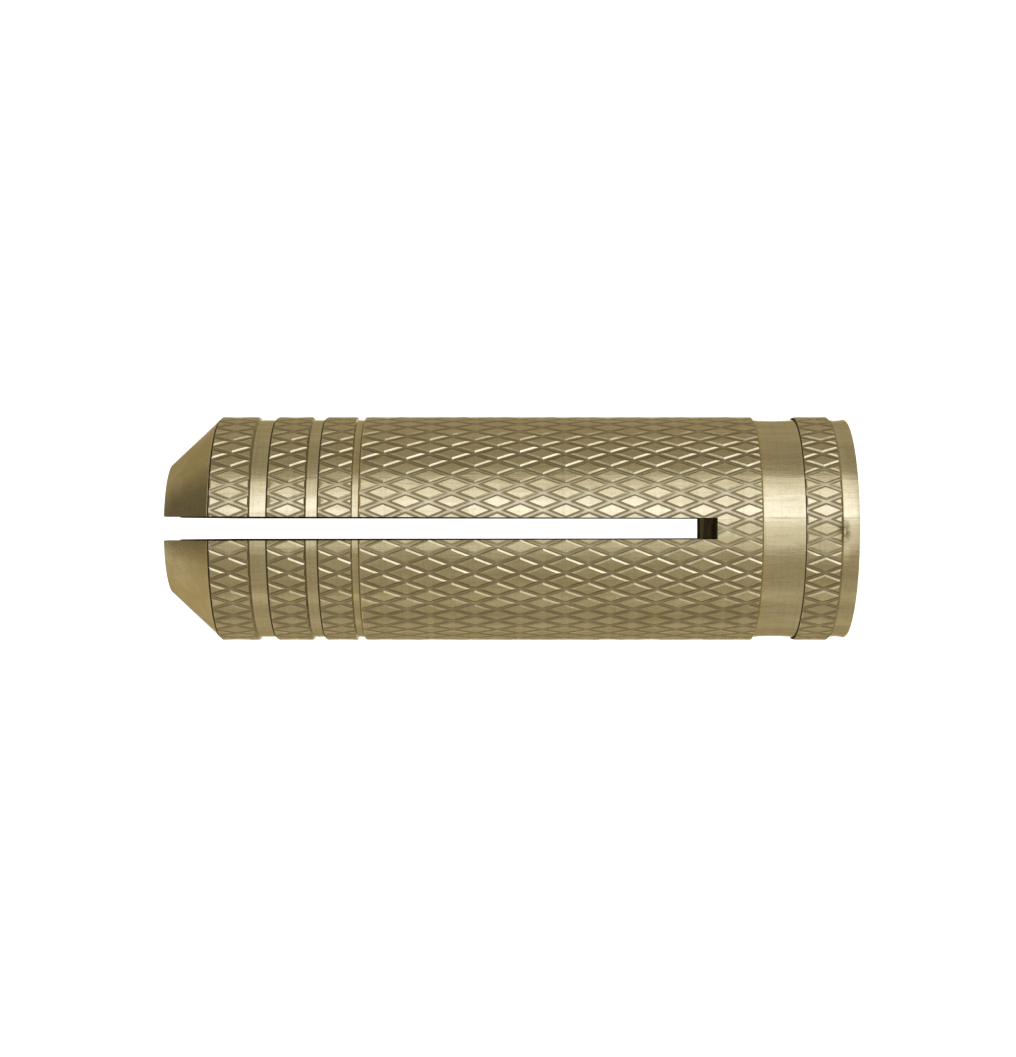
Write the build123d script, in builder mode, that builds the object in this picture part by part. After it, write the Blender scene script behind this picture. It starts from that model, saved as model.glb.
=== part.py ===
from build123d import *

import os
from math import ceil, cos, floor, pi, sin

# Brass expansion anchor: one turned, knurled and slotted sleeve with an internal M6 thread.
# Millimetres. The sleeve stands on its mouth face, with its nose up. The axis is Z,
# the origin is the centre of the mouth face, and the slot lies in the YZ plane.

# Sleeve
outer_diameter = 8.0
length = 24.0

# Bore: thread core from the mouth, then a taper where the screw drives the jaws apart
thread_core_diameter = 5.0
mouth_countersink = 0.45
spread_taper_length = 6.0
nose_bore_diameter = 3.0
nose_bore_length = 4.0

# Slot, sawn through both walls from the nose
slot_end_height = 4.86
slot_width_at_end = 0.74
slot_width_at_nose = 0.86

# Nose: a short bevel, then the lead-in cone
nose_cone_length = 1.56
nose_bevel_length = 0.27
nose_bevel_depth = 0.216
nose_tip_diameter = 4.6

# Knurled bands below the nose, and the turned grooves between them
first_band_length = 1.306
first_groove_length = 0.594
second_band_length = 1.328
second_groove_length = 0.432
third_band_length = 1.184
third_groove_length = 0.226

# Collar at the mouth: plain rim, knurled band and wide plain groove
rim_length = 0.60
mouth_band_length = 1.23
wide_groove_length = 1.456

# Turned grooves: the wide one and the rim have a dished floor, and the rim flares to its edge
groove_depth = 0.105
floor_dish = 0.028
rim_flare = 0.02

# Knurl: diamonds between two crossing sets of V grooves, one row of them facing the slot
diamonds_round = 40
diamond_length = 1.5624
knurl_depth = 0.09
main_row_drop = 0.828

radius = outer_diameter / 2
valley_radius = radius - knurl_depth
floor_radius = radius - groove_depth
stock_radius = radius + groove_depth
ring_bore_radius = floor_radius - groove_depth
half_angle = pi / diamonds_round
half_length = diamond_length / 2

# Heights of the bands, up from the mouth and down from the nose
rim_top = rim_length
mouth_band_top = rim_top + mouth_band_length
main_band_start = mouth_band_top + wide_groove_length
nose_start = length - nose_cone_length - nose_bevel_length
first_band_start = nose_start - first_band_length
second_band_top = first_band_start - first_groove_length
second_band_start = second_band_top - second_band_length
third_band_top = second_band_start - second_groove_length
third_band_start = third_band_top - third_band_length
main_band_top = third_band_start - third_groove_length

thread_core_radius = thread_core_diameter / 2
nose_bore_radius = nose_bore_diameter / 2
taper_top = length - nose_bore_length
thread_end = taper_top - spread_taper_length


def on_cylinder(distance, angle, height):
    """Point at a distance from the axis, with its angle counted from -Y towards +X."""
    return Vector(distance * sin(angle), -distance * cos(angle), height)


def knurled_bar(low, high, row_height):
    """Bar with diamonds all round that reaches past two heights, one row centred on row_height.

    Each diamond is four triangles that meet in its crest. The grooves' crossings are its corners,
    and every second row is turned by half a diamond. Plain stubs close the bar beyond the knurl.
    """
    first_row = floor((low - row_height) / half_length)
    last_row = ceil((high - row_height) / half_length)
    bottom = row_height + (first_row - 2) * half_length
    top = row_height + (last_row + 2) * half_length
    corner_angles = [step * half_angle for step in range(2 * diamonds_round)]
    outlines = [[on_cylinder(valley_radius, angle, bottom) for angle in corner_angles]]
    outlines += [[on_cylinder(valley_radius, angle, top) for angle in corner_angles]]
    for row in range(first_row, last_row + 1):
        height = row_height + row * half_length
        for place in range(diamonds_round):
            angle = (2 * place + row % 2) * half_angle
            left = on_cylinder(valley_radius, angle - half_angle, height)
            right = on_cylinder(valley_radius, angle + half_angle, height)
            foot = on_cylinder(valley_radius, angle, height - half_length)
            head = on_cylinder(valley_radius, angle, height + half_length)
            crest = on_cylinder(radius, angle, height)
            outlines += [(foot, right, crest), (right, head, crest)]
            outlines += [(head, left, crest), (left, foot, crest)]
            if row in (first_row, last_row):
                end, tip = (bottom, foot) if row == first_row else (top, head)
                end_left = on_cylinder(valley_radius, angle - half_angle, end)
                end_tip = on_cylinder(valley_radius, angle, end)
                end_right = on_cylinder(valley_radius, angle + half_angle, end)
                outlines += [(left, tip, end_tip, end_left), (tip, right, end_right, end_tip)]
    return Solid(Shell([Face(Wire.make_polygon(corners)) for corners in outlines]))


def knurled_band(low, high, row_height):
    """Ring between two heights with the knurl on its outside, cut square at both ends."""
    with BuildPart() as band:
        with BuildSketch(Plane.XY.offset(low)):
            Circle(stock_radius)
            Circle(ring_bore_radius, mode=Mode.SUBTRACT)
        extrude(amount=high - low)
        add(knurled_bar(low, high, row_height), mode=Mode.INTERSECT)
    return band.part


bands = [
    knurled_band(rim_top, mouth_band_top, (rim_top + mouth_band_top) / 2),
    knurled_band(main_band_start, main_band_top, main_band_top - main_row_drop),
    knurled_band(third_band_start, third_band_top, (third_band_start + third_band_top) / 2),
    knurled_band(second_band_start, second_band_top, (second_band_start + second_band_top) / 2),
    knurled_band(first_band_start, nose_start, (first_band_start + nose_start) / 2),
]

with BuildPart() as anchor_sleeve:
    # Turned tube: dished rim, dished wide groove, plain floors, bevel, cone and bore
    with BuildSketch(Plane.XZ):
        with BuildLine():
            rim_edge = (floor_radius + rim_flare, 0)
            rim_middle = (floor_radius - floor_dish, rim_top / 2)
            rim_end = (floor_radius, rim_top)
            groove_foot = (floor_radius, mouth_band_top)
            groove_middle = (floor_radius - floor_dish, (mouth_band_top + main_band_start) / 2)
            groove_head = (floor_radius, main_band_start)
            Line((thread_core_radius + mouth_countersink, 0), rim_edge)
            ThreePointArc(rim_edge, rim_middle, rim_end)
            Line(rim_end, groove_foot)
            ThreePointArc(groove_foot, groove_middle, groove_head)
            Polyline(groove_head, (floor_radius, nose_start),
                     (radius - nose_bevel_depth, nose_start + nose_bevel_length),
                     (nose_tip_diameter / 2, length), (nose_bore_radius, length),
                     (nose_bore_radius, taper_top),
                     (thread_core_radius, thread_end), (thread_core_radius, mouth_countersink),
                     (thread_core_radius + mouth_countersink, 0))
        make_face()
    revolve(axis=Axis.Z)
    add(bands)

    # Slot
    with BuildSketch(Plane.XZ):
        with BuildLine():
            Polyline((-slot_width_at_end / 2, slot_end_height), (slot_width_at_end / 2, slot_end_height),
                     (slot_width_at_nose / 2, length), (-slot_width_at_nose / 2, length), close=True)
        make_face()
    extrude(amount=stock_radius, both=True, mode=Mode.SUBTRACT)

anchor_sleeve.part.label = "anchor_sleeve"

os.makedirs("parts", exist_ok=True)
export_step(anchor_sleeve.part, "parts/anchor_sleeve.step")
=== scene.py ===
import random
from math import atan2, ceil, cos, floor, hypot, pi, radians, sin, tan

import bmesh
import bpy
from mathutils import Matrix, Vector


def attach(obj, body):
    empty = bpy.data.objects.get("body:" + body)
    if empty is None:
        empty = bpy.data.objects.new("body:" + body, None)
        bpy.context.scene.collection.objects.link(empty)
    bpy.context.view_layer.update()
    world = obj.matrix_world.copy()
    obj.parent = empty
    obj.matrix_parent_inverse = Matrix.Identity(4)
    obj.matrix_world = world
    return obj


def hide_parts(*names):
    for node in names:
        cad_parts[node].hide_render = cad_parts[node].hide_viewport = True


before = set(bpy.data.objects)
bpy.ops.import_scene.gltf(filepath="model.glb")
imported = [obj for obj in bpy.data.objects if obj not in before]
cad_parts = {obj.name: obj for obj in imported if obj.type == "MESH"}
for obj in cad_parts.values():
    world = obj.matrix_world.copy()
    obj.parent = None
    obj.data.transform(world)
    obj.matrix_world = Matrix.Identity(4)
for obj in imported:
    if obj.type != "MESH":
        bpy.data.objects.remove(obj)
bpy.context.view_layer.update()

# Dressed model of a knurled and slotted brass expansion anchor. Lengths are millimetres until
# the mesh is scaled to metres. The sleeve stands on its mouth, with the nose up along Z,
# and angles are counted from -Y, where the slot is, towards +X.
MM = 0.001
TURN = 2 * pi
random.seed(8)

# Sleeve and the turned profile of its outside
RADIUS = 3.995
LENGTH = 24.0
FLOOR_RADIUS = 3.895
FLOOR_DISH = 0.028
RIM_EDGE_RADIUS = 3.912
NOSE_TIP_RADIUS = 2.30
CONE_START = 22.28

# Rounded edges of the nose, and the middle of the outer one as inset and depth
EDGE_ROUND = 0.03
EDGE_MIDDLE = (0.005, 0.008)

# Knurl: diamonds between two crossing sets of grooves
DIAMONDS_ROUND = 40
HALF_LENGTH = 0.7812
HALF_ANGLE = pi / DIAMONDS_ROUND
LINE_SLANT = 21.4
LINE_SPACING = HALF_LENGTH * sin(radians(LINE_SLANT))
TOP_TILT = 0.022
# Groove section as distance from the groove's middle line and depth below the diamonds' tops
GROOVE_SECTION = [(0.0, 0.031), (0.050, 0.038), (0.112, 0.0)]
GROOVE_DEPTH = 0.038
CROSSING_SHARE = 0.88
QUARTERS = 4

# Heights of each band: the mouth-side wall's foot and head, the start and end of the edge break
# on the nose side, the foot of that wall, and one row with a diamond on the slot's line
BAND_HEIGHTS = ("wall_foot", "wall_head", "break_start", "break_end", "step_foot", "row")
BANDS = [dict(zip(BAND_HEIGHTS, heights)) for heights in (
    (0.556, 0.648, 1.77, 1.81, 1.84, 1.152),
    (3.275, 3.340, 17.03, 17.07, 17.125, 16.272),
    (17.325, 17.380, 18.40, 18.47, 18.53, 17.812),
    (18.895, 18.970, 20.14, 20.21, 20.28, 19.512),
    (20.815, 20.895, 22.16, 22.20, 22.27, 21.532),
)]
BREAK_DEPTH = 0.02
WIDE_GROOVE = 1

# Bore, internal thread and slot
THREAD_PITCH = 1.0
THREAD_CORE_RADIUS = 2.5
THREAD_ROOT_RADIUS = 3.0
THREAD_END = 14.0
COUNTERSINK = 0.45
TAPER_TOP = 20.0
TAPER_BREAK = 0.05
TAPER_BREAK_DEPTH = 0.01
NOSE_BORE_RADIUS = 1.5
SLOT_END = 4.86
SLOT_WIDTH_AT_END = 0.74
SLOT_WIDTH_AT_NOSE = 0.86
# Half width that the slot loses at its rear, at its end and at the nose
SLOT_REAR_LOSS = (0.01, 0.06)

# Thread section over one pitch, as shares of the pitch and of the depth
THREAD_STOPS = [(0, 0), (0.25, 0), (0.5625, 1), (0.6875, 1), (1, 0)]

# Fineness and closeness of the mesh
COLUMNS = 240
THREAD_COLUMNS = 72
DISH_STEPS = 6
CONE_SHARES = (0, 0.25, 0.5, 0.75)
LAND = 0.01
CUT_REACH = 1e-7
MERGE = 1e-4
ON_LINE = 1e-4
SAME_ANGLE = 1e-6
SLIVER = 1e-6
SHARP_ANGLE = 17


def on_cylinder(distance, angle, height):
    """Point at a distance from the axis, at an angle from -Y towards +X."""
    return Vector((distance * sin(angle), -distance * cos(angle), height))


# Knurl, modelled unrolled: X is the angle times the radius, Y the height, Z the distance from the axis
def diamond_ring(sheet, centre, distance, depth, tilt):
    """Points round one diamond, at a distance from its grooves' middle lines.

    The grooves are shallower at their crossings, which are the diamond's corners.
    """
    corners = [(0, -1), (1, 0), (0, 1), (-1, 0)]
    share = 1 - distance / LINE_SPACING
    side, end = share * HALF_ANGLE * RADIUS, share * HALF_LENGTH
    ring = []
    for (x, y), (next_x, next_y) in zip(corners, corners[1:] + corners[:1]):
        for quarter in range(QUARTERS):
            part = quarter / QUARTERS
            across = side * (x + (next_x - x) * part)
            along = end * (y + (next_y - y) * part)
            if depth:
                lift = -depth * (1 if quarter else CROSSING_SHARE)
            else:
                lift = tilt[0] * across + tilt[1] * along / 3
            ring.append(sheet.verts.new((centre[0] + across, centre[1] + along, RADIUS + lift)))
    return ring


def add_diamond(sheet, angle, height):
    """One diamond of the knurl, from its grooves up to its slightly tilted top."""
    tilt = random.uniform(-TOP_TILT, TOP_TILT), random.uniform(-TOP_TILT, TOP_TILT)
    centre = (angle * RADIUS, height)
    rings = [diamond_ring(sheet, centre, distance, depth, tilt) for distance, depth in GROOVE_SECTION]
    crest = sheet.verts.new((*centre, RADIUS))
    count = len(rings[0])
    for outer, inner in zip(rings, rings[1:]):
        for spot in range(count):
            follower = (spot + 1) % count
            sheet.faces.new((outer[spot], outer[follower], inner[follower], inner[spot]))
    for spot in range(count):
        sheet.faces.new((rings[-1][spot], rings[-1][(spot + 1) % count], crest))


def bisect_above(sheet, start, end):
    """Cut away what lies above the line through two (height, distance) points, and give the cut."""
    rise, run = end[1] - start[1], end[0] - start[0]
    normal = Vector((0, -rise, run))
    if normal.z < 0:
        normal = -normal
    result = bmesh.ops.bisect_plane(
        sheet, geom=sheet.verts[:] + sheet.edges[:] + sheet.faces[:], dist=CUT_REACH,
        plane_co=(0, start[0], start[1]), plane_no=normal, clear_outer=True)
    return [item for item in result["geom_cut"] if isinstance(item, bmesh.types.BMEdge)]


def draw_down(sheet, edges, height, distance):
    """Close a cut by a wall from its edges to a line at one height and distance."""
    result = bmesh.ops.extrude_edge_only(sheet, edges=edges)
    for item in result["geom"]:
        if isinstance(item, bmesh.types.BMVert):
            item.co.y, item.co.z = height, distance
    bmesh.ops.remove_doubles(sheet, verts=sheet.verts[:], dist=MERGE)


def on_line(vertex, start, end):
    """Whether a vertex of the sheet lies on the line through two (height, distance) points."""
    rise, run = end[1] - start[1], end[0] - start[0]
    off = (vertex.co.y - start[0]) * rise - (vertex.co.z - start[1]) * run
    return abs(off) < ON_LINE * hypot(rise, run)


def knurled_band(wall_foot, wall_head, break_start, break_end, step_foot, row):
    """Sheet of one knurled band, with its walls down to the groove floors, wrapped round the axis."""
    sheet = bmesh.new()
    first_row = floor((wall_foot - row) / HALF_LENGTH)
    last_row = ceil((step_foot - row) / HALF_LENGTH)
    for step in range(first_row, last_row + 1):
        for place in range(DIAMONDS_ROUND):
            add_diamond(sheet, (2 * place + step % 2) * HALF_ANGLE, row + step * HALF_LENGTH)
    bmesh.ops.remove_doubles(sheet, verts=sheet.verts[:], dist=MERGE)

    mouth_wall = ((wall_foot, FLOOR_RADIUS), (wall_head, RADIUS))
    step_wall = ((break_end, RADIUS - BREAK_DEPTH), (step_foot, FLOOR_RADIUS))
    edge_break = ((break_start, RADIUS), (break_end, RADIUS - BREAK_DEPTH))
    draw_down(sheet, bisect_above(sheet, *mouth_wall), *mouth_wall[0])
    bisect_above(sheet, *step_wall)
    draw_down(sheet, bisect_above(sheet, *edge_break), *edge_break[1])
    rims = [edge for edge in sheet.edges if len(edge.link_faces) == 1
            and all(on_line(vertex, *step_wall) for vertex in edge.verts)]
    draw_down(sheet, rims, *step_wall[1])

    for vertex in sheet.verts:
        vertex.co = on_cylinder(vertex.co.z, vertex.co.x / RADIUS, vertex.co.y)
    bmesh.ops.remove_doubles(sheet, verts=sheet.verts[:], dist=MERGE)
    return sheet


# Turned rings that join the bands into one sleeve
def angle_of(vertex):
    """Angle of a vertex from -Y towards +X, from 0 to a full turn."""
    return atan2(vertex.co.x, -vertex.co.y) % TURN


def open_ring(sleeve, height):
    """The vertices of the open edge at one height, in order of angle."""
    ends = {vertex for edge in sleeve.edges if len(edge.link_faces) == 1 for vertex in edge.verts}
    return sorted((vertex for vertex in ends if abs(vertex.co.z - height) < LAND * 0.99), key=angle_of)


def add_ring(sleeve, distance, height, count=COLUMNS):
    """A ring of vertices round the axis."""
    return [sleeve.verts.new(on_cylinder(distance, TURN * step / count, height)) for step in range(count)]


def join_rings(sleeve, lower, upper):
    """Join two rings that are sorted by angle, with quads where they match and triangles elsewhere."""
    low_angles = [angle_of(vertex) for vertex in lower]
    high_angles = [angle_of(vertex) for vertex in upper]
    low_count, high_count = len(lower), len(upper)
    if low_count == high_count and all(abs(a - b) < SAME_ANGLE for a, b in zip(low_angles, high_angles)):
        for step in range(low_count):
            follower = (step + 1) % low_count
            sleeve.faces.new((lower[step], lower[follower], upper[follower], upper[step]))
        return
    low, high = 0, 0
    while low < low_count or high < high_count:
        next_low = low_angles[low + 1] if low + 1 < low_count else TURN + low_angles[0]
        next_high = high_angles[high + 1] if high + 1 < high_count else TURN + high_angles[0]
        here_low, here_high = lower[low % low_count], upper[high % high_count]
        if high >= high_count or (low < low_count and next_low <= next_high):
            sleeve.faces.new((here_low, lower[(low + 1) % low_count], here_high))
            low += 1
        else:
            sleeve.faces.new((here_low, upper[(high + 1) % high_count], here_high))
            high += 1


def join_profile(sleeve, start, profile, end=None):
    """Join an open ring through rings at (distance, height) points to another one, and give the last."""
    rings = [start] + [add_ring(sleeve, distance, height) for distance, height in profile]
    if end:
        rings.append(end)
    for lower, upper in zip(rings, rings[1:]):
        join_rings(sleeve, lower, upper)
    return rings[-1]


def dished(low, high, low_distance, high_distance):
    """Points of a dished groove floor between two heights, its ends left out."""
    points = []
    for step in range(1, DISH_STEPS):
        share = step / DISH_STEPS
        sag = FLOOR_DISH * 4 * share * (1 - share)
        distance = low_distance + (high_distance - low_distance) * share - sag
        points.append((distance, low + (high - low) * share))
    return points


def add_floors(sleeve):
    """Floors of the turned grooves between the bands, the wide one dished."""
    for lower, upper in zip(BANDS, BANDS[1:]):
        foot, head = lower["step_foot"], upper["wall_foot"]
        low, high = foot + LAND, head - LAND
        points = [(FLOOR_RADIUS, low)]
        if head - foot > WIDE_GROOVE:
            points += dished(low, high, FLOOR_RADIUS, FLOOR_RADIUS)
        points.append((FLOOR_RADIUS, high))
        join_profile(sleeve, open_ring(sleeve, foot), points, open_ring(sleeve, head))


def add_rim(sleeve):
    """Mouth face and dished rim, from the countersink's ring, which it gives."""
    top = BANDS[0]["wall_foot"]
    points = [(RIM_EDGE_RADIUS, 0.0)]
    points += dished(0.0, top - LAND, RIM_EDGE_RADIUS, FLOOR_RADIUS)
    points.append((FLOOR_RADIUS, top - LAND))
    rim_top = open_ring(sleeve, top)
    mouth = add_ring(sleeve, THREAD_CORE_RADIUS + COUNTERSINK, 0.0, THREAD_COLUMNS)
    join_profile(sleeve, mouth, points, rim_top)
    return mouth


def add_nose(sleeve):
    """Cone, nose face, nose bore and taper, down to the ring where the thread ends, which it gives."""
    cone_length = LENGTH - CONE_START
    slope = (FLOOR_RADIUS - NOSE_TIP_RADIUS) / cone_length
    points = []
    for share in CONE_SHARES:
        points.append((FLOOR_RADIUS - slope * share * cone_length, CONE_START + share * cone_length))
    points += [(NOSE_TIP_RADIUS + slope * EDGE_ROUND, LENGTH - EDGE_ROUND),
               (NOSE_TIP_RADIUS - EDGE_MIDDLE[0], LENGTH - EDGE_MIDDLE[1]),
               (NOSE_TIP_RADIUS - EDGE_ROUND, LENGTH),
               (NOSE_BORE_RADIUS + EDGE_ROUND, LENGTH),
               (NOSE_BORE_RADIUS, LENGTH - EDGE_ROUND),
               (NOSE_BORE_RADIUS, TAPER_TOP + TAPER_BREAK),
               (NOSE_BORE_RADIUS + TAPER_BREAK_DEPTH, TAPER_TOP - TAPER_BREAK)]
    taper_start = join_profile(sleeve, open_ring(sleeve, BANDS[-1]["step_foot"]), points)
    thread_ring = add_ring(sleeve, THREAD_CORE_RADIUS, THREAD_END, THREAD_COLUMNS)
    join_rings(sleeve, taper_start, thread_ring)
    return thread_ring


def thread_section(share):
    """Distance of the internal thread's surface from the axis, over one pitch."""
    depth = THREAD_ROOT_RADIUS - THREAD_CORE_RADIUS
    for (low, low_depth), (high, high_depth) in zip(THREAD_STOPS, THREAD_STOPS[1:]):
        if share <= high:
            part = low_depth + (high_depth - low_depth) * (share - low) / (high - low)
            return THREAD_CORE_RADIUS + depth * part


def thread_point(level, lead, low, high):
    """Point of the thread's surface at a level in pitches and a share of a turn, between two heights."""
    kept = min(max(THREAD_PITCH * (level + lead), low), high)
    fade = min((high - kept) / THREAD_PITCH, 1)
    distance = thread_section((kept / THREAD_PITCH - lead) % 1)
    distance = THREAD_CORE_RADIUS + (distance - THREAD_CORE_RADIUS) * fade
    chamfer = THREAD_CORE_RADIUS + COUNTERSINK - kept
    distance = min(max(distance, chamfer), chamfer + 2 * kept)
    return on_cylinder(distance, TURN * lead, kept)


def add_thread(sleeve, low, high):
    """Right-handed internal thread between two heights, opened by the countersink and run out at its end."""
    shares = []
    for (start, _), (end, _) in zip(THREAD_STOPS, THREAD_STOPS[1:]):
        shares += [start, (start + end) / 2]
    grid = []
    for turn in range(-1, ceil(high / THREAD_PITCH) + 1):
        for share in shares:
            grid.append([sleeve.verts.new(thread_point(turn + share, step / THREAD_COLUMNS, low, high))
                         for step in range(THREAD_COLUMNS)])
    per_turn = len(shares)
    for level in range(len(grid) - 1):
        lower, upper = grid[level], grid[level + 1]
        for step in range(THREAD_COLUMNS - 1):
            sleeve.faces.new((lower[step], lower[step + 1], upper[step + 1], upper[step]))
        if level + per_turn + 1 < len(grid):
            next_lower, next_upper = grid[level + per_turn], grid[level + per_turn + 1]
            sleeve.faces.new((lower[-1], next_lower[0], next_upper[0], upper[-1]))


def build_sleeve():
    """Closed mesh of the sleeve, before the slot is sawn."""
    sleeve = bmesh.new()
    for band in BANDS:
        sheet = knurled_band(**band)
        mesh = bpy.data.meshes.new("band")
        sheet.to_mesh(mesh)
        sheet.free()
        sleeve.from_mesh(mesh)
        bpy.data.meshes.remove(mesh)
    add_floors(sleeve)
    mouth = add_rim(sleeve)
    thread_ring = add_nose(sleeve)
    add_thread(sleeve, mouth[0].co.z, thread_ring[0].co.z)
    bmesh.ops.remove_doubles(sleeve, verts=sleeve.verts[:], dist=MERGE)
    bmesh.ops.dissolve_degenerate(sleeve, edges=sleeve.edges[:], dist=SLIVER)
    bmesh.ops.recalc_face_normals(sleeve, faces=sleeve.faces[:])
    return sleeve


# Slot, whose cutter reaches past the outside and past the nose
CUTTER_REACH = 6.0
CUTTER_PAST = 2.0


def slot_cutter():
    """Prism of the saw's cut, open past the nose and through both walls."""
    cutter = bmesh.new()
    taper = (SLOT_WIDTH_AT_NOSE - SLOT_WIDTH_AT_END) / (LENGTH - SLOT_END)
    for height, loss in ((SLOT_END, SLOT_REAR_LOSS[0]), (LENGTH + CUTTER_PAST, SLOT_REAR_LOSS[1])):
        half = (SLOT_WIDTH_AT_END + taper * (height - SLOT_END)) / 2
        rear = half - loss
        for x, y in ((-half, -1), (half, -1), (rear, 1), (-rear, 1)):
            cutter.verts.new((x, y * CUTTER_REACH, height))
    cutter.verts.ensure_lookup_table()
    for corners in ((3, 2, 1, 0), (4, 5, 6, 7), (0, 1, 5, 4), (1, 2, 6, 5), (2, 3, 7, 6), (3, 0, 4, 7)):
        cutter.faces.new([cutter.verts[corner] for corner in corners])
    return cutter


def to_object(mesh_data, name):
    """Object with a mesh of its own."""
    mesh = bpy.data.meshes.new(name)
    mesh_data.to_mesh(mesh)
    mesh_data.free()
    item = bpy.data.objects.new(name, mesh)
    bpy.context.scene.collection.objects.link(item)
    return item


def saw_slot(sleeve, cutter):
    """Cut the slot and keep the result as the sleeve's own mesh."""
    cut = sleeve.modifiers.new("slot", "BOOLEAN")
    cut.operation = "DIFFERENCE"
    cut.solver = "EXACT"
    cut.object = cutter
    evaluated = sleeve.evaluated_get(bpy.context.evaluated_depsgraph_get())
    mesh = bpy.data.meshes.new_from_object(evaluated)
    sleeve.modifiers.clear()
    old = sleeve.data
    sleeve.data = mesh
    bpy.data.meshes.remove(old)
    bpy.data.objects.remove(cutter)


# Painted shade, as its share of a near-black colour on the sawn faces, the slot's end and the bore, and on
# the mouth-side and nose-side walls of each band, where it stands in for the shade that falls there
SAWN_SHADE = 0.9
SLOT_END_SHADE = 0.8
BORE_SHADE = 0.5
WALL_SHADE = [0.65, 0.0, 0.25, 0.4, 0.4]
STEP_SHADE = [0.9, 0.3, 0.9, 0.9, 0.95]

# How far a face has to lean to count as a band's wall or as flat, and how far it may lie off
WALL_LEAN = 0.45
WALL_MARGIN = 0.002
STEP_MARGIN = 0.005
FLAT_LEAN = 0.98
SAWN_REACH = 0.45
BORE_EDGE = 0.05
KNURL_LEAN = 0.35


def wall_shade(centre, normal):
    """Share of painted shade on the walls at both ends of a band: dark lines of shade at the steps, and
    darker mouth-side walls that hide a reflection.
    """
    if abs(normal.z) < WALL_LEAN or hypot(centre.x, centre.y) < FLOOR_RADIUS - LAND:
        return 0.0
    for band, foot_shade, head_shade in zip(BANDS, WALL_SHADE, STEP_SHADE):
        above_foot = centre.z > band["wall_foot"] - WALL_MARGIN
        if normal.z < 0 and above_foot and centre.z < band["wall_head"] + WALL_MARGIN:
            return foot_shade
        above_break = centre.z > band["break_end"] - STEP_MARGIN
        if normal.z > 0 and above_break and centre.z < band["step_foot"] + WALL_MARGIN:
            return head_shade
    return 0.0


def painted_shade_of(centre, normal):
    """Share of painted shade on a face, from its middle and the way it faces."""
    if abs(normal.x) > FLAT_LEAN and abs(centre.x) < SAWN_REACH and centre.z > SLOT_END - LAND:
        return SAWN_SHADE
    if normal.z > FLAT_LEAN and abs(centre.z - SLOT_END) < LAND / 2:
        return SLOT_END_SHADE
    in_bore = hypot(centre.x, centre.y) < THREAD_ROOT_RADIUS + LAND
    faces_axis = centre.x * normal.x + centre.y * normal.y < -LAND
    if in_bore and faces_axis and BORE_EDGE < centre.z < LENGTH - BORE_EDGE:
        return BORE_SHADE
    return wall_shade(centre, normal)


def mark_faces(mesh):
    """Give faces their share of painted shade, and mark the knurl, whose groove bottoms get painted shade."""
    painted_shade = mesh.attributes.new("painted_shade", "FLOAT", "FACE")
    knurl = mesh.attributes.new("knurl", "FLOAT", "FACE")
    for polygon in mesh.polygons:
        centre, normal = polygon.center, polygon.normal
        knurled = hypot(centre.x, centre.y) > RADIUS - GROOVE_DEPTH and abs(normal.z) < KNURL_LEAN
        painted_shade.data[polygon.index].value = painted_shade_of(centre, normal)
        knurl.data[polygon.index].value = 1.0 if knurled else 0.0


sleeve = to_object(build_sleeve(), "anchor_sleeve_detail")
saw_slot(sleeve, to_object(slot_cutter(), "slot_cutter"))
mark_faces(sleeve.data)
sleeve.data.transform(Matrix.Scale(MM, 4))
for polygon in sleeve.data.polygons:
    polygon.use_smooth = True
sleeve.data.set_sharp_from_angle(angle=radians(SHARP_ANGLE))


# Material
def add_node(tree, kind, inputs, **settings):
    """Shader node with its settings, and its inputs given as values or as the sockets that feed them."""
    item = tree.nodes.new(kind)
    for name, value in settings.items():
        setattr(item, name, value)
    for socket, value in inputs.items():
        if isinstance(value, bpy.types.NodeSocket):
            tree.links.new(value, item.inputs[socket])
        else:
            item.inputs[socket].default_value = value
    return item


def vector_node(tree, operation, first, second):
    """Two vectors put together by one operation."""
    return add_node(tree, "ShaderNodeVectorMath", {0: first, 1: second}, operation=operation).outputs[0]


def vector_length(tree, vector):
    """Length of a vector."""
    return add_node(tree, "ShaderNodeVectorMath", {0: vector}, operation="LENGTH").outputs["Value"]


def stretched_noise(tree, place, stretch, detail, roughness):
    """Noise whose grain is stretched by a different scale per axis, in features per millimetre."""
    scaled = vector_node(tree, "MULTIPLY", place, stretch)
    inputs = {"Vector": scaled, "Scale": 1.0, "Detail": detail, "Roughness": roughness}
    return add_node(tree, "ShaderNodeTexNoise", inputs).outputs["Fac"]


def mapped(tree, value, low, high, to_low, to_high):
    """Value brought from one range to another, and kept inside it."""
    inputs = {"Value": value, "From Min": low, "From Max": high, "To Min": to_low, "To Max": to_high}
    return add_node(tree, "ShaderNodeMapRange", inputs).outputs["Result"]


def mixed(tree, factor, first, second):
    """Mix of two colours."""
    return add_node(tree, "ShaderNodeMix", {0: factor, 6: first, 7: second}, data_type="RGBA").outputs[2]


def combined(tree, operation, first, second):
    """Two values put together by one operation."""
    return add_node(tree, "ShaderNodeMath", {0: first, 1: second}, operation=operation).outputs[0]


def bumped(tree, height, depth, normal):
    """Normal bumped by a height, whose depth is in millimetres."""
    inputs = {"Height": height, "Distance": depth * MM, "Strength": 1.0}
    if normal:
        inputs["Normal"] = normal
    return add_node(tree, "ShaderNodeBump", inputs).outputs["Normal"]


BRASS = (0.80, 0.67, 0.38, 1)
DULL_BRASS = (0.66, 0.53, 0.28, 1)
BROWN_BRASS = (0.66, 0.51, 0.23, 1)
# Dark brown painted shade for the bottoms of the knurl's grooves, also the colour of the real dull line along
# the collar
GROOVE_SHADE_AND_MARK = (0.20, 0.155, 0.085, 1)
STAIN = (0.16, 0.11, 0.045, 1)
# Near-black painted shade for the sawn faces, the slot's end, the bore and the band walls
SHADE_DARK = (0.035, 0.023, 0.010, 1)
EDGE_TINT = (0.97, 0.89, 0.68, 1)

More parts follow.
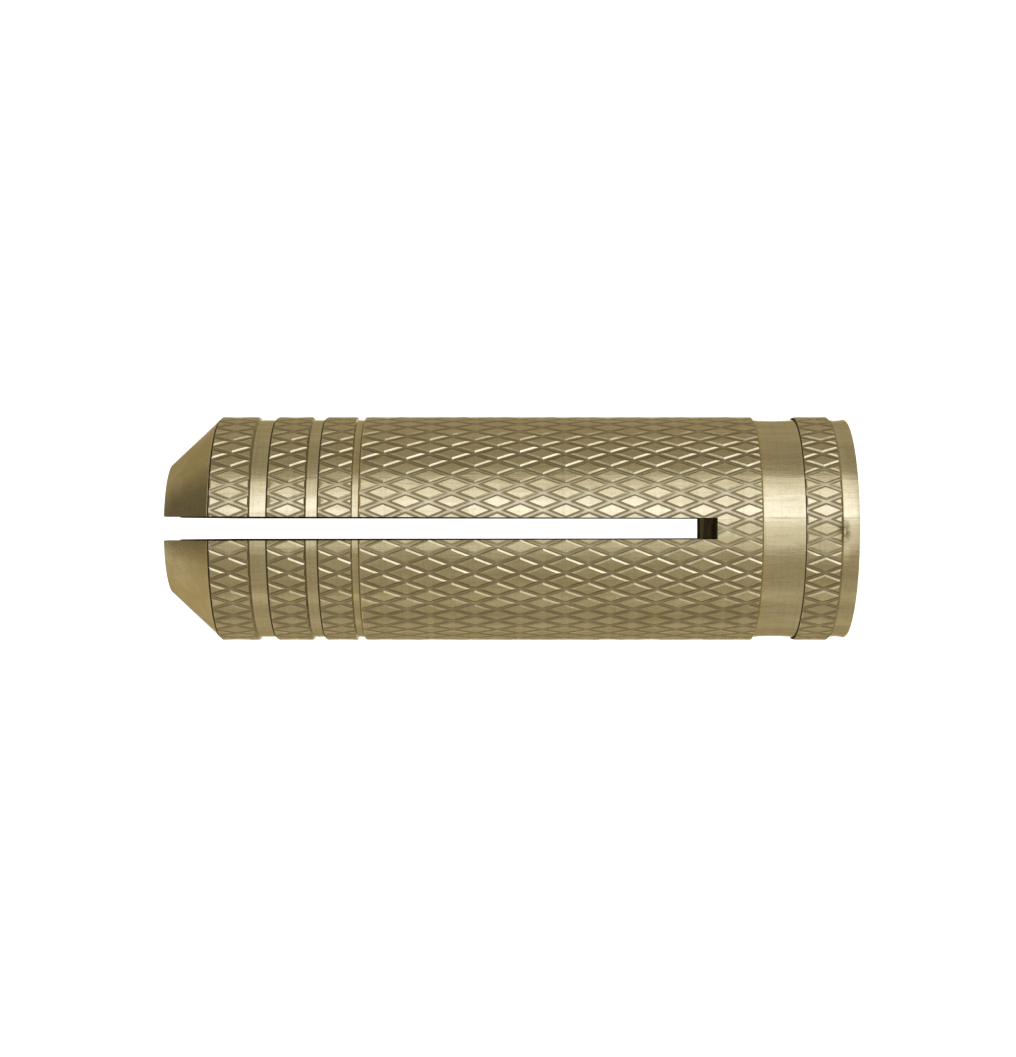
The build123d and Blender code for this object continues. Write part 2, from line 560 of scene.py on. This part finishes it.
# Dull line along the collar and stain on the rim
MARK_ASIDE = 0.357
MARK_HALF_WIDTH = 0.025
MARK_STRENGTH = 0.45
MARK_FRONT = -3.5
COLLAR_END = (2.8, 3.3)
STAIN_PLACE = (-0.08, -3.87, 0.54)
STAIN_STRETCH = (0.8, 1.0, 1.5)
STAIN_REACH = 0.42
STAIN_BLOT = ((6.0, 6.0, 6.0), 3.0, 0.55)

# Patterns of wear as their features per millimetre along each axis, detail and roughness
WEAR = {
    "marks": ((0.12, 0.12, 9.0), 4.0, 0.55),
    "smears": ((2.2, 2.2, 0.35), 4.0, 0.55),
    "streaks": ((8.0, 8.0, 0.6), 4.0, 0.65),
    "grain": ((9.0, 9.0, 9.0), 3.0, 0.6),
    "patches": ((0.7, 0.7, 0.7), 5.0, 0.65),
}
# How the patterns dull the brass, as where each starts and is full, and its share
DULLING = {"smears": (0.42, 0.72, 0.8), "grain": (0.5, 0.7, 0.5),
           "streaks": (0.48, 0.72, 0.7), "marks": (0.5, 0.7, 0.4)}
KNURL_DULLING = 0.12
# Depths of the patterns' relief
RELIEF = {"marks": 0.0016, "grain": 0.0014, "smears": 0.005, "streaks": 0.0042}
# Roughness of clean and of smeared brass, and what patches and painted shade add
ROUGHNESS = (0.14, 0.24)
PATCH_ROUGHNESS = 0.07
SHADE_ROUGHNESS = 0.35
# Shares of painted shade between which brass stops being metallic
METAL_END = (0.66, 0.8)
CONE_FADE = 0.1


def valley_shade(tree, place, knurl):
    """Share of painted shade, darker towards the bottom of the knurl's grooves."""
    distance = vector_length(tree, vector_node(tree, "MULTIPLY", place, (1, 1, 0)))
    deep = mapped(tree, distance, RADIUS - GROOVE_DEPTH, RADIUS - 0.6 * GROOVE_DEPTH, 0.75, 0.0)
    return combined(tree, "MULTIPLY", deep, knurl)


def axial_mark(tree, sides, knurl):
    """Share of a thin dull line along the collar, beside the slot's line."""
    aside = combined(tree, "ABSOLUTE", combined(tree, "SUBTRACT", sides["X"], MARK_ASIDE), 0.0)
    line = mapped(tree, aside, MARK_HALF_WIDTH * 0.3, MARK_HALF_WIDTH, MARK_STRENGTH, 0.0)
    on_front = combined(tree, "LESS_THAN", sides["Y"], MARK_FRONT)
    on_collar = mapped(tree, sides["Z"], *COLLAR_END, 1.0, 0.0)
    off_mouth = combined(tree, "GREATER_THAN", sides["Z"], 0.005)
    share = combined(tree, "MULTIPLY", line, combined(tree, "SUBTRACT", off_mouth, knurl))
    return combined(tree, "MULTIPLY", share, combined(tree, "MULTIPLY", on_front, on_collar))


def rim_stain(tree, place):
    """Share of a dark stain on the rim beside the slot's line."""
    away = vector_node(tree, "SUBTRACT", place, STAIN_PLACE)
    distance = vector_length(tree, vector_node(tree, "MULTIPLY", away, STAIN_STRETCH))
    blot = stretched_noise(tree, place, *STAIN_BLOT)
    faded = mapped(tree, distance, 0.0, STAIN_REACH, 1.5, 0.0)
    return combined(tree, "MULTIPLY", faded, mapped(tree, blot, 0.35, 0.55, 0.25, 1.0))


def brass_colour(tree, place, wear, painted_shade, knurl):
    """Brass dulled by wear and browned on the cone, with painted shade in the knurl's grooves, the stain, the
    mark, and painted shade on the sawn faces, bore and band walls.
    """
    sides = add_node(tree, "ShaderNodeSeparateXYZ", {0: place}).outputs
    dull = combined(tree, "MULTIPLY", knurl, KNURL_DULLING)
    for name, (start, full, share) in DULLING.items():
        dull = combined(tree, "ADD", dull, mapped(tree, wear[name], start, full, 0.0, share))
    on_cone = mapped(tree, sides["Z"], CONE_START - CONE_FADE, CONE_START + CONE_FADE, 0.0, 1.0)
    browned = combined(tree, "MULTIPLY", on_cone, mapped(tree, wear["patches"], 0.4, 0.6, 0.1, 1.0))

    colour = mixed(tree, dull, BRASS, DULL_BRASS)
    colour = mixed(tree, browned, colour, BROWN_BRASS)
    # Painted shade at the bottom of the knurl's grooves
    colour = mixed(tree, valley_shade(tree, place, knurl), colour, GROOVE_SHADE_AND_MARK)
    colour = mixed(tree, rim_stain(tree, place), colour, STAIN)
    colour = mixed(tree, axial_mark(tree, sides, knurl), colour, GROOVE_SHADE_AND_MARK)
    # Painted shade on the sawn faces, the slot's end, the bore and the band walls
    return mixed(tree, painted_shade, colour, SHADE_DARK)


def brass_gloss(tree, wear, painted_shade):
    """Roughness, higher on smears, patches and the painted-shade faces."""
    gloss = mapped(tree, wear["smears"], 0.3, 0.7, *ROUGHNESS)
    gloss = combined(tree, "ADD", gloss, mapped(tree, wear["patches"], 0.4, 0.7, 0.0, PATCH_ROUGHNESS))
    return combined(tree, "ADD", gloss, combined(tree, "MULTIPLY", painted_shade, SHADE_ROUGHNESS))


def brass_relief(tree, wear):
    """Normal with the fine relief of the wear."""
    normal = None
    for name, depth in RELIEF.items():
        normal = bumped(tree, wear[name], depth, normal)
    return normal


def turned_brass():
    """Bright turned brass, painted near-black as shade and no longer metallic where it was sawn."""
    material = bpy.data.materials.new("turned_brass")
    material.use_nodes = True
    tree = material.node_tree
    shader = tree.nodes["Principled BSDF"].inputs
    # No reflection from faces that are not metallic, so the painted-shade faces show none
    shader["Specular IOR Level"].default_value = 0.0
    shader["Specular Tint"].default_value = EDGE_TINT

    metres = add_node(tree, "ShaderNodeTexCoord", {}).outputs["Object"]
    place = add_node(tree, "ShaderNodeVectorMath", {0: metres, "Scale": 1 / MM}, operation="SCALE").outputs[0]
    painted_shade = add_node(tree, "ShaderNodeAttribute", {}, attribute_name="painted_shade").outputs["Fac"]
    knurl = add_node(tree, "ShaderNodeAttribute", {}, attribute_name="knurl").outputs["Fac"]
    wear = {name: stretched_noise(tree, place, *settings) for name, settings in WEAR.items()}

    tree.links.new(brass_colour(tree, place, wear, painted_shade, knurl), shader["Base Color"])
    # Faces with much painted shade stop being metallic, so they show a flat dark colour instead of
    # reflections
    tree.links.new(mapped(tree, painted_shade, *METAL_END, 1.0, 0.0), shader["Metallic"])
    tree.links.new(brass_gloss(tree, wear, painted_shade), shader["Roughness"])
    tree.links.new(brass_relief(tree, wear), shader["Normal"])
    return material


sleeve.data.materials.append(turned_brass())
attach(sleeve, "root")
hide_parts("anchor_sleeve")

# Stage, light and camera, in metres and degrees
CAMERA_DISTANCE = 0.0762
FOCAL_PIXELS = 2122.0
FRAME_HEIGHT = 1057
SENSOR = 36.0
MIDDLE = Vector((0, 0, LENGTH / 2 * MM))

FLOOR_RIM = 0.00402
FLOOR_DROP = 0.00001
FLOOR_CORNERS = 96
BACKDROP_DISTANCE = 0.5
BACKDROP_MARGIN = 1.03
STAGE_COLOUR = (0.85, 0.85, 0.85, 1)


def white_stage(name):
    """White surface that camera, glossy and transmission rays see at full white, shadow kept."""
    material = bpy.data.materials.new(name)
    material.use_nodes = True
    tree = material.node_tree
    tree.nodes.clear()
    path = add_node(tree, "ShaderNodeLightPath", {}).outputs
    seen = combined(tree, "MAXIMUM", path["Is Camera Ray"], path["Is Glossy Ray"])
    seen = combined(tree, "MAXIMUM", seen, path["Is Transmission Ray"])
    glow = add_node(tree, "ShaderNodeEmission", {"Strength": seen})
    diffuse = add_node(tree, "ShaderNodeBsdfDiffuse", {"Color": STAGE_COLOUR})
    both = add_node(tree, "ShaderNodeAddShader", {0: diffuse.outputs[0], 1: glow.outputs[0]})
    add_node(tree, "ShaderNodeOutputMaterial", {"Surface": both.outputs[0]})
    return material


def plate(name, corners, material):
    """Flat stage piece from its corners."""
    mesh = bpy.data.meshes.new(name)
    mesh.from_pydata(corners, [], [range(len(corners))])
    mesh.materials.append(material)
    item = bpy.data.objects.new(name, mesh)
    bpy.context.scene.collection.objects.link(item)


def set_stage():
    """Small round floor under the sleeve, and a backdrop that fills the picture."""
    stage_white = white_stage("stage_white")
    rim = [tuple(on_cylinder(FLOOR_RIM, TURN * step / FLOOR_CORNERS, -FLOOR_DROP))
           for step in range(FLOOR_CORNERS)]
    plate("floor", rim, stage_white)
    reach = (CAMERA_DISTANCE + BACKDROP_DISTANCE) * FRAME_HEIGHT / 2 / FOCAL_PIXELS * BACKDROP_MARGIN
    corners = [(x * reach, BACKDROP_DISTANCE, MIDDLE.z + z * reach)
               for x, z in ((-1, -1), (1, -1), (1, 1), (-1, 1))]
    plate("backdrop", corners, stage_white)


ROOM_COLOUR = (1.0, 0.96, 0.85, 1)
ROOM_LEVEL = 0.372
# Parts of the room as their direction, the cosines where they start and are full, and their gain
ROOM_PATCHES = [((0.14, 0.10, 0.985), 0.88, 0.985, -0.23),
                ((-0.54, 0.50, 0.68), 0.80, 0.95, 0.13),
                ((0.98, -0.17, 0.0), 0.92, 0.99, -0.06)]


def studio_world():
    """Warm grey room, darker beyond the nose and lighter behind it."""
    world = bpy.data.worlds.new("studio")
    world.use_nodes = True
    tree = world.node_tree
    background = tree.nodes["Background"].inputs
    direction = add_node(tree, "ShaderNodeTexCoord", {}).outputs["Generated"]
    level = ROOM_LEVEL
    for centre, start, full, gain in ROOM_PATCHES:
        facing = add_node(tree, "ShaderNodeVectorMath", {0: direction, 1: centre}, operation="DOT_PRODUCT")
        level = combined(tree, "ADD", level, mapped(tree, facing.outputs["Value"], start, full, 0.0, gain))
    tree.links.new(level, background["Strength"])
    background["Color"].default_value = ROOM_COLOUR
    bpy.context.scene.world = world


WHITE = (1, 1, 1)
KEY_COLOUR = (0.89, 1.0, 1.26)
CORE_COLOUR = (0.84, 1.01, 1.80)
LAMP_DISTANCE = 0.4
# Soft lamps as angles up and sideways from the camera's line, level and colour. The key is layered,
# so that it is brightest and whitest in its middle.
LAMPS = [
    ("key_edge", (-22, 54), (-18, 36), 0.46, KEY_COLOUR),
    ("key_wide", (3, 50), (-12, 36), 0.22, KEY_COLOUR),
    ("key_bright", (9, 39), (-11, 36), 0.22, CORE_COLOUR),
    ("key_core", (12, 31), (-10, 36), 0.27, CORE_COLOUR),
    ("key_aside", (-30, 56), (17, 32), 0.20, KEY_COLOUR),
    ("lower_fill", (-84, -70), (-30, 30), 0.16, WHITE),
    ("lower_back", (-128, -108), (-30, 30), 0.09, WHITE),
]


def softbox(name, heights, sides, level, colour):
    """Area lamp that spans angles up and sideways from the camera's line, as seen from the sleeve."""
    (low, high), (left, right) = heights, sides
    up, aside = radians(low + high) / 2, radians(left + right) / 2
    direction = Vector((cos(aside) * sin(up), -cos(aside) * cos(up), -sin(aside)))
    lamp = bpy.data.lights.new(name, "AREA")
    lamp.shape = "RECTANGLE"
    lamp.size = 2 * LAMP_DISTANCE * tan(radians(high - low) / 2)
    lamp.size_y = 2 * LAMP_DISTANCE * tan(radians(right - left) / 2)
    lamp.energy = level * pi * lamp.size * lamp.size_y
    lamp.color = colour
    item = bpy.data.objects.new(name, lamp)
    item.location = MIDDLE + direction * LAMP_DISTANCE
    item.rotation_euler = (-direction).to_track_quat("-Z", "Y").to_euler()
    item.visible_camera = False
    bpy.context.scene.collection.objects.link(item)


def photo_camera():
    """Camera straight at the side of the sleeve, with the nose to the left of the picture."""
    data = bpy.data.cameras.new("photo_camera")
    data.sensor_width = SENSOR
    data.lens = FOCAL_PIXELS / FRAME_HEIGHT * SENSOR
    data.clip_start = 0.001
    data.clip_end = 10
    item = bpy.data.objects.new("photo_camera", data)
    right, up, back = Vector((0, 0, -1)), Vector((1, 0, 0)), Vector((0, -1, 0))
    turned = Matrix((right, up, back)).transposed().to_4x4()
    item.matrix_world = Matrix.Translation(MIDDLE + back * CAMERA_DISTANCE) @ turned
    bpy.context.scene.collection.objects.link(item)
    return item


set_stage()
studio_world()
for lamp in LAMPS:
    softbox(*lamp)
bpy.context.scene.camera = photo_camera()
bpy.context.scene.view_settings.view_transform = "Standard"
